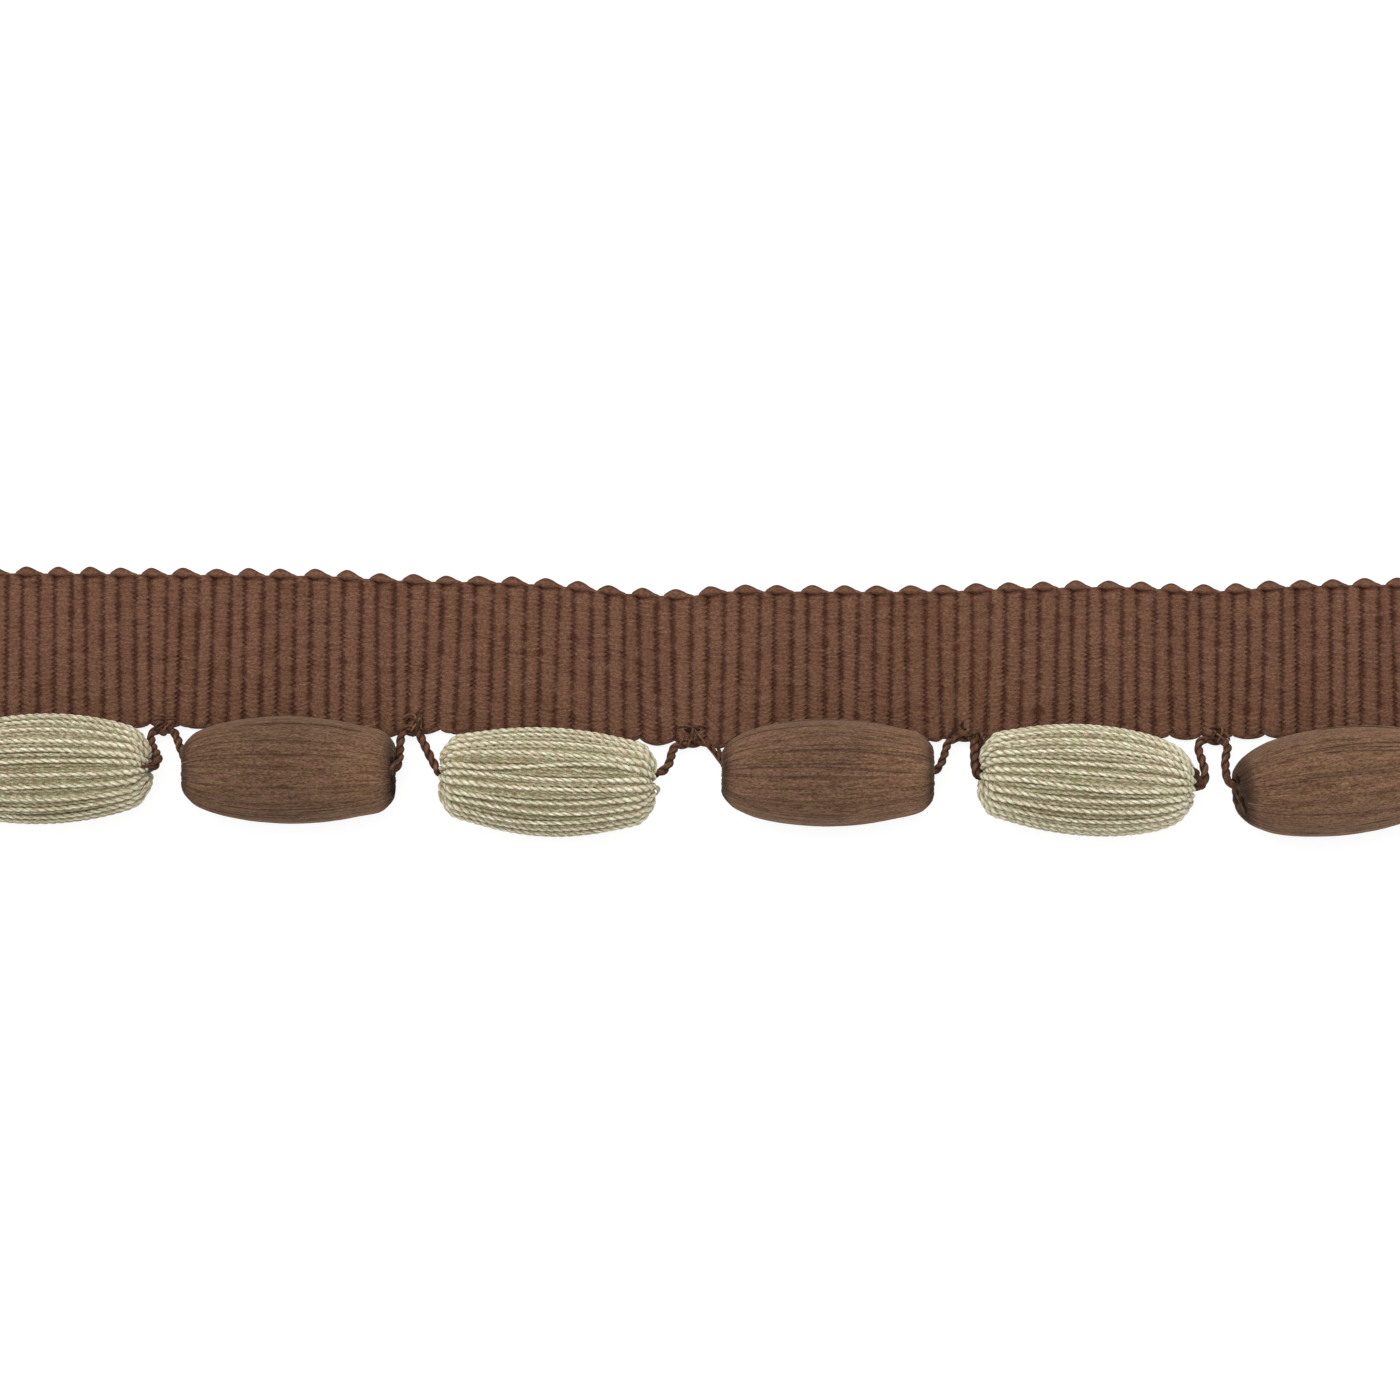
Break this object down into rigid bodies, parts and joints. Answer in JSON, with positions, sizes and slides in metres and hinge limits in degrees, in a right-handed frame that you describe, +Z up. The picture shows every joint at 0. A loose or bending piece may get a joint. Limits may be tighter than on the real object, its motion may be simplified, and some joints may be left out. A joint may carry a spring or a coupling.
{
  "type": "beaded braid trim",
  "caption": "Straight length of ribbed brown braid tape with thread-wrapped barrel beads, cream and brown in turn, strung along its lower edge to finish cushions, shades and curtains.",
  "frame": {"origin": "on the surface that the trim lies on, under the middle of its bounding box", "axes": "+X along the tape, +Y from the beads to the tape's plain looped edge, +Z up out of the tape's ribbed face"},
  "size_m": [0.1568, 0.0269, 0.011],
  "materials": {
    "tape_yarn": "matt brown ribbed rayon and cotton braid",
    "cream_cord": "cream two-ply twisted cord with a soft sheen",
    "brown_floss": "fine brown floss with a satin sheen",
    "stringing_yarn": "dark brown two-ply twisted cord"
  },
  "bodies": {
    "root": {"ribbed_tape": "tape_yarn", "bead_1_cream": "cream_cord", "bead_2_brown": "brown_floss", "bead_3_cream": "cream_cord", "bead_4_brown": "brown_floss", "bead_5_cream": "cream_cord", "bead_6_brown": "brown_floss", "stringing_cord": "stringing_yarn"}
  },
  "joints": []
}
